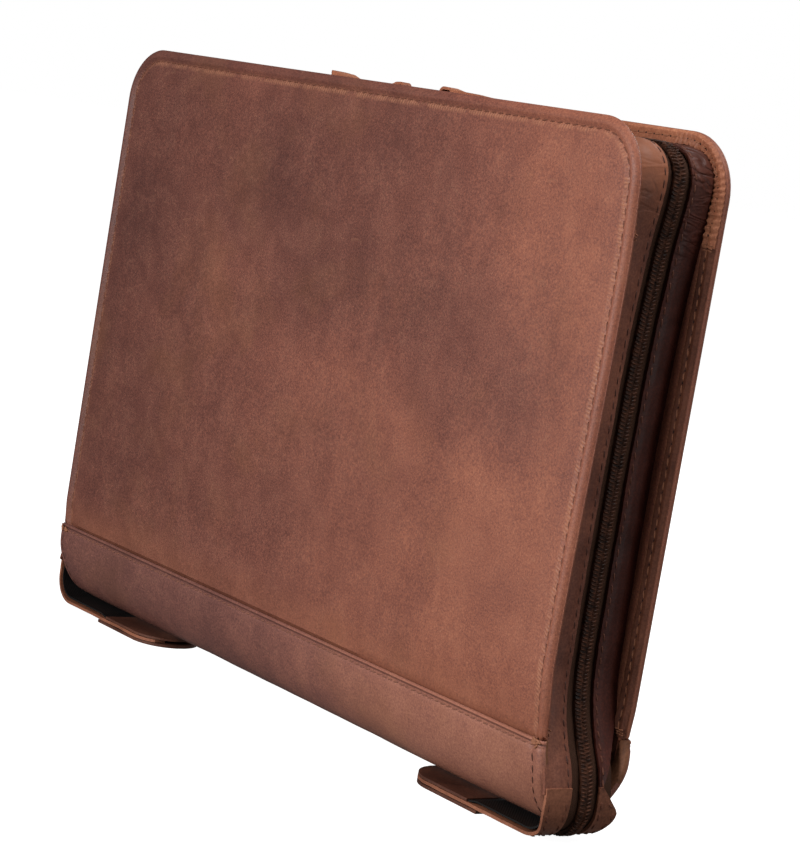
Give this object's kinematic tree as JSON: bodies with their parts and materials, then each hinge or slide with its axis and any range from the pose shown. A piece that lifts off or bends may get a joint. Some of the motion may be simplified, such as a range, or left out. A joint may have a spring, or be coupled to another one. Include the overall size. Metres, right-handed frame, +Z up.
{
  "type": "leather document case",
  "caption": "Slim rectangular leather document case, zipped round its sides and top, with leather zip pulls and curled zip ends under its spine.",
  "frame": {"origin": "on the surface the case stands on, below the middle of its box", "axes": "+X along the spine, -Y out of the front cover, +Z up from the spine to the zipped top"},
  "size_m": [0.3512, 0.0436, 0.253],
  "materials": {
    "cover_leather": "mottled waxed brown leather, satin",
    "hem_leather": "lighter brown leather, waxed, with raw edges",
    "gusset_leather": "darker brown leather, satin",
    "zip_tape": "dark brown woven tape",
    "zip_coil": "dark brown nylon coil",
    "lining": "black woven lining",
    "slider_metal": "dark antique"
  },
  "bodies": {
    "root": {"front_cover": "cover_leather", "back_cover": "cover_leather", "spine_band": "cover_leather", "front_hem": "hem_leather", "back_hem": "hem_leather", "front_gusset": "gusset_leather", "back_gusset": "gusset_leather", "front_tape": "zip_tape", "back_tape": "zip_tape", "zip_coil": "zip_coil", "right_tab_front": "gusset_leather", "right_tab_back": "gusset_leather", "right_tab_lining": "lining", "right_tab_sole": "hem_leather", "right_tab_patch": "hem_leather", "left_tab_front": "gusset_leather", "left_tab_back": "gusset_leather", "left_tab_lining": "lining", "left_tab_sole": "hem_leather", "left_tab_patch": "hem_leather", "left_slider": "slider_metal", "left_pull": "hem_leather", "right_slider": "slider_metal", "right_pull": "hem_leather"}
  },
  "joints": []
}
